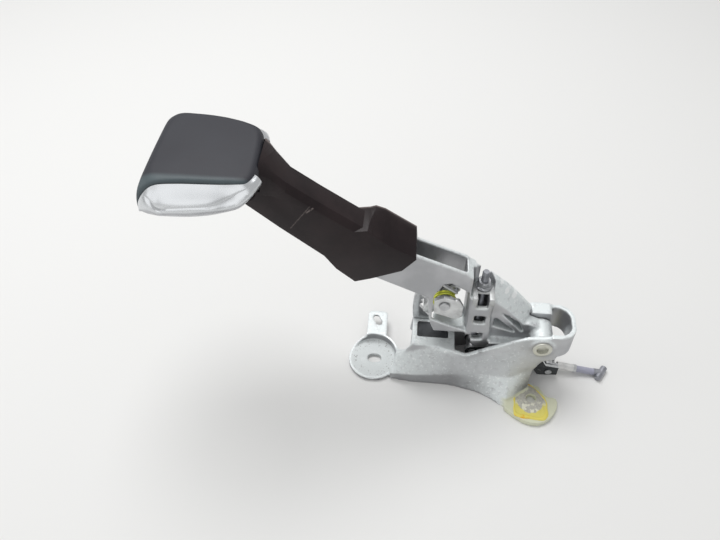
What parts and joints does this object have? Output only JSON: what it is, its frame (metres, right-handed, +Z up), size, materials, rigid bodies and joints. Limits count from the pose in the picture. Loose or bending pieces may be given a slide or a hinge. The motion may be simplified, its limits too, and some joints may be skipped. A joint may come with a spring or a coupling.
{
  "type": "parking brake lever",
  "caption": "Flat-grip parking brake lever on a cast bracket with three feet, ratchet sector and pawl, cable take-up stud, crank and warning switch.",
  "frame": {"origin": "midway between the two rear foot bolt holes, on the mounting plane", "axes": "+X towards the cable end (rear of the vehicle), +Y towards the ratchet sector, +Z up from the mounting plane"},
  "size_m": [0.3748, 0.1226, 0.2411],
  "materials": {
    "cast_aluminium": "as-cast, dulled, satin",
    "zinc_steel": "zinc plated steel",
    "black_steel": "black coated pressing, worn bright on its cut edges",
    "yellow_zinc": "yellow passivated spring wire",
    "black_plastic": "moulded black, fine grain",
    "soft_black": "soft-touch charcoal",
    "satin_chrome": "satin chrome plated",
    "bush_polymer": "dark bearing polymer",
    "stop_rubber": "moulded rubber",
    "cable_grey": "blue-grey sleeve over the rod"
  },
  "bodies": {
    "base": {"base_bracket": "cast_aluminium", "ratchet_sector": "zinc_steel", "sector_rivets": "zinc_steel", "pivot_pin": "zinc_steel", "bump_stop": "stop_rubber", "switch_housing": "black_plastic", "switch_blades": "zinc_steel", "switch_spring": "zinc_steel"},
    "plunger": {"switch_plunger": "black_plastic"},
    "lever": {"lever_arm": "cast_aluminium", "hub_bushes": "bush_polymer", "adjuster_saddle": "zinc_steel", "crank_pin": "zinc_steel", "pawl_pin": "zinc_steel", "pawl_spring": "yellow_zinc", "rocker_pin": "zinc_steel", "lever_sleeve": "black_plastic", "sleeve_screws": "black_steel", "grip_core": "black_plastic", "grip_underside": "black_plastic", "grip_screws": "black_steel", "grip_pad": "soft_black", "grip_trim_near": "satin_chrome", "grip_trim_far": "satin_chrome"},
    "nut": {"adjuster_nut": "zinc_steel"},
    "stud": {"adjuster_stud": "zinc_steel"},
    "crank": {"cable_crank": "black_steel", "crank_trunnion": "zinc_steel", "clevis_pin": "zinc_steel"},
    "cable": {"cable_rod": "zinc_steel", "cable_ferrule": "zinc_steel", "cable_collar": "zinc_steel", "cable_sheath": "cable_grey", "cable_tee": "zinc_steel"},
    "pawl": {"ratchet_pawl": "zinc_steel"},
    "rod": {"pull_rod": "zinc_steel"},
    "rocker": {"release_rocker": "zinc_steel"},
    "button": {"release_button": "black_plastic"}
  },
  "joints": [
    {"name": "lever_pivot", "type": "hinge", "parent": "base", "child": "lever", "pos_m": [0, 0, 0.062], "axis": [0, 1, 0], "range_deg": [0, 32]},
    {"name": "plunger_slide", "type": "slide", "parent": "base", "child": "plunger", "axis": [0, 0, 1], "range_m": [0, 0.00505], "deforming": ["switch_spring"]},
    {"name": "stud_rise", "type": "slide", "parent": "lever", "child": "stud", "axis": [0, 0, 1], "range_m": [0, 0.004]},
    {"name": "nut_turn", "type": "hinge", "parent": "lever", "child": "nut", "pos_m": [-0.055, 0, 0.115], "axis": [0, 0, -1], "range_deg": [0, 1447.2]},
    {"name": "crank_pivot", "type": "hinge", "parent": "lever", "child": "crank", "pos_m": [-0.006, 0, 0.038], "axis": [0, 1, 0], "range_deg": [0, 4.73]},
    {"name": "cable_swivel", "type": "hinge", "parent": "crank", "child": "cable", "pos_m": [0.0168, 0, 0.009], "axis": [0, 1, 0], "range_deg": [-50, 0]},
    {"name": "button_press", "type": "slide", "parent": "lever", "child": "button", "axis": [1, 0, 0], "range_m": [0, 0.00331], "stiffness_N_per_m": 500, "springref_m": -0.002},
    {"name": "rocker_turn", "type": "hinge", "parent": "lever", "child": "rocker", "pos_m": [-0.24535, 0.005, 0.2221], "axis": [0, -1, 0], "range_deg": [0, 25.56]},
    {"name": "rod_pull", "type": "slide", "parent": "lever", "child": "rod", "axis": [-0.7965, 0, 0.6046], "range_m": [0, 0.0025]},
    {"name": "pawl_turn", "type": "hinge", "parent": "lever", "child": "pawl", "pos_m": [-0.085, 0, 0.091], "axis": [0, -1, 0], "range_deg": [0, 11.01]}
  ],
  "couplings": [
    {"joint": "plunger_slide", "follows": "lever_pivot", "m_per_rad": 0.0089525},
    {"joint": "nut_turn", "follows": "stud_rise", "rad_per_m": 6283.2},
    {"joint": "crank_pivot", "follows": "stud_rise", "rad_per_m": 20.431},
    {"joint": "rocker_turn", "follows": "button_press", "rad_per_m": 133.33},
    {"joint": "rod_pull", "follows": "button_press", "ratio": 0.74667},
    {"joint": "pawl_turn", "follows": "button_press", "rad_per_m": 57.436}
  ]
}
